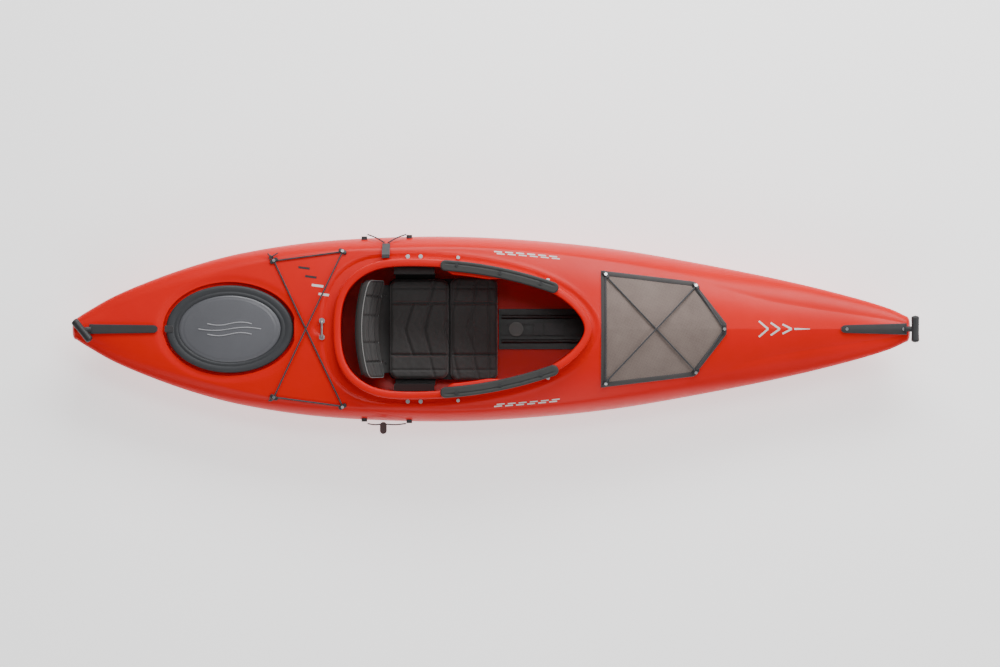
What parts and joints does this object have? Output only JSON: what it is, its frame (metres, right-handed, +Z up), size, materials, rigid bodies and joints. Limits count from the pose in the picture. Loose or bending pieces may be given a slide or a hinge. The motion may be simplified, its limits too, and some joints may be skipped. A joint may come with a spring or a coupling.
{
  "type": "kayak",
  "caption": "Sit-inside crossover kayak with a padded seat, thigh braces, stern hatch, deck lines, foredeck mesh panel, end grips and a drop skeg.",
  "frame": {"origin": "middle of the hull length, on the flat of the keel", "axes": "+X to the bow, +Y to port, +Z up"},
  "size_m": [3.23, 0.7664, 0.3846],
  "materials": {
    "hull_red": "rotomoulded polyethylene, lightly textured",
    "black_plastic": "moulded nylon",
    "rubber_black": "soft rubber",
    "panel_grey": "fine texture",
    "webbing_black": "woven webbing",
    "cord_black": "braided sheath",
    "steel": "stainless",
    "mesh_taupe": "open woven mesh",
    "binding_grey": "folded binding tape",
    "seat_fabric": "padded woven fabric",
    "foam_grey": "closed-cell foam",
    "foam_light": "closed-cell foam",
    "aluminium": "anodised"
  },
  "bodies": {
    "hull": {"hull_shell": "hull_red", "stern_bulkhead": "foam_light", "skeg_box": "black_plastic", "skeg_pivot_pin": "steel", "stern_pad_eyes": "black_plastic", "stern_eye_bolts": "steel", "stern_bungee": "cord_black", "security_bar": "steel", "bow_strap": "webbing_black", "stern_strap": "webbing_black", "bow_strap_bolts": "steel", "stern_strap_bolts": "steel", "deck_mesh": "mesh_taupe", "mesh_binding": "binding_grey", "mesh_pad_eyes": "black_plastic", "mesh_eye_bolts": "steel", "mesh_bungee": "cord_black", "port_keeper_anchors": "black_plastic", "starboard_keeper_anchors": "black_plastic", "brace_bolts": "steel", "seat_bolts": "steel", "seat_base": "black_plastic", "rear_seat_cushion": "seat_fabric", "port_seat_hanger": "black_plastic", "starboard_seat_hanger": "black_plastic", "back_hinge_pins": "steel", "floor_spine": "black_plastic", "spine_rails": "aluminium", "spine_boss": "black_plastic", "spine_pads": "black_plastic", "port_foot_rail": "aluminium", "starboard_foot_rail": "aluminium"},
    "skeg": {"skeg_blade": "black_plastic"},
    "hatch_lid": {"hatch_lid_rim": "rubber_black", "hatch_lid_panel": "panel_grey", "hatch_pull_tab": "webbing_black"},
    "bow_handle": {"bow_grip": "black_plastic"},
    "stern_handle": {"stern_grip": "black_plastic"},
    "port_keeper": {"port_keeper_hook": "rubber_black", "port_keeper_cord": "cord_black"},
    "starboard_keeper": {"starboard_keeper_hook": "rubber_black", "starboard_keeper_cord": "cord_black"},
    "leg_lifter": {"leg_lifter_plate": "black_plastic", "front_seat_cushion": "seat_fabric"},
    "backrest": {"backrest_shell": "black_plastic", "backrest_pad": "seat_fabric"},
    "port_thigh_brace": {"port_brace_plate": "black_plastic", "port_thigh_pad": "foam_grey", "port_brace_buttons": "black_plastic"},
    "starboard_thigh_brace": {"starboard_brace_plate": "black_plastic", "starboard_thigh_pad": "foam_grey", "starboard_brace_buttons": "black_plastic"},
    "port_pedal": {"port_foot_pedal": "black_plastic"},
    "starboard_pedal": {"starboard_foot_pedal": "black_plastic"}
  },
  "joints": [
    {"name": "skeg_swing", "type": "hinge", "parent": "hull", "child": "skeg", "pos_m": [-0.985, 0, 0.066], "axis": [0, -1, 0], "range_deg": [0, 60]},
    {"name": "hatch_lift", "type": "slide", "parent": "hull", "child": "hatch_lid", "axis": [0, 0, 1], "range_m": [0, 0.12]},
    {"name": "bow_grip_lift", "type": "hinge", "parent": "hull", "child": "bow_handle", "pos_m": [1.572, 0, 0.3014], "axis": [0, -1, 0], "range_deg": [0, 100]},
    {"name": "stern_grip_lift", "type": "hinge", "parent": "hull", "child": "stern_handle", "pos_m": [-1.523, 0, 0.27453], "axis": [0, 1, 0], "range_deg": [0, 100]},
    {"name": "port_keeper_flip", "type": "hinge", "parent": "hull", "child": "port_keeper", "pos_m": [-0.4, 0.36199, 0.20725], "axis": [-1, 0, 0], "range_deg": [0, 110]},
    {"name": "starboard_keeper_swing", "type": "hinge", "parent": "hull", "child": "starboard_keeper", "pos_m": [-0.412, -0.36199, 0.20725], "axis": [-1, 0, 0], "range_deg": [-45, 60]},
    {"name": "leg_lifter_tilt", "type": "hinge", "parent": "hull", "child": "leg_lifter", "pos_m": [-0.16, 0, 0.0643], "axis": [0, -1, 0], "range_deg": [0, 16]},
    {"name": "backrest_recline", "type": "hinge", "parent": "hull", "child": "backrest", "pos_m": [-0.418, 0, 0.084], "axis": [0, -1, 0], "range_deg": [-25, 3]},
    {"name": "port_brace_slide", "type": "slide", "parent": "hull", "child": "port_thigh_brace", "axis": [0.9778, -0.2023, 0.0537], "range_m": [-0.025, 0.025]},
    {"name": "starboard_brace_slide", "type": "slide", "parent": "hull", "child": "starboard_thigh_brace", "axis": [0.9778, 0.2023, 0.0537], "range_m": [-0.025, 0.025]},
    {"name": "port_pedal_slide", "type": "slide", "parent": "hull", "child": "port_pedal", "axis": [0.9882, -0.1532, 0], "range_m": [-0.12, 0.12]},
    {"name": "starboard_pedal_slide", "type": "slide", "parent": "hull", "child": "starboard_pedal", "axis": [0.9882, 0.1532, 0], "range_m": [-0.12, 0.12]}
  ]
}
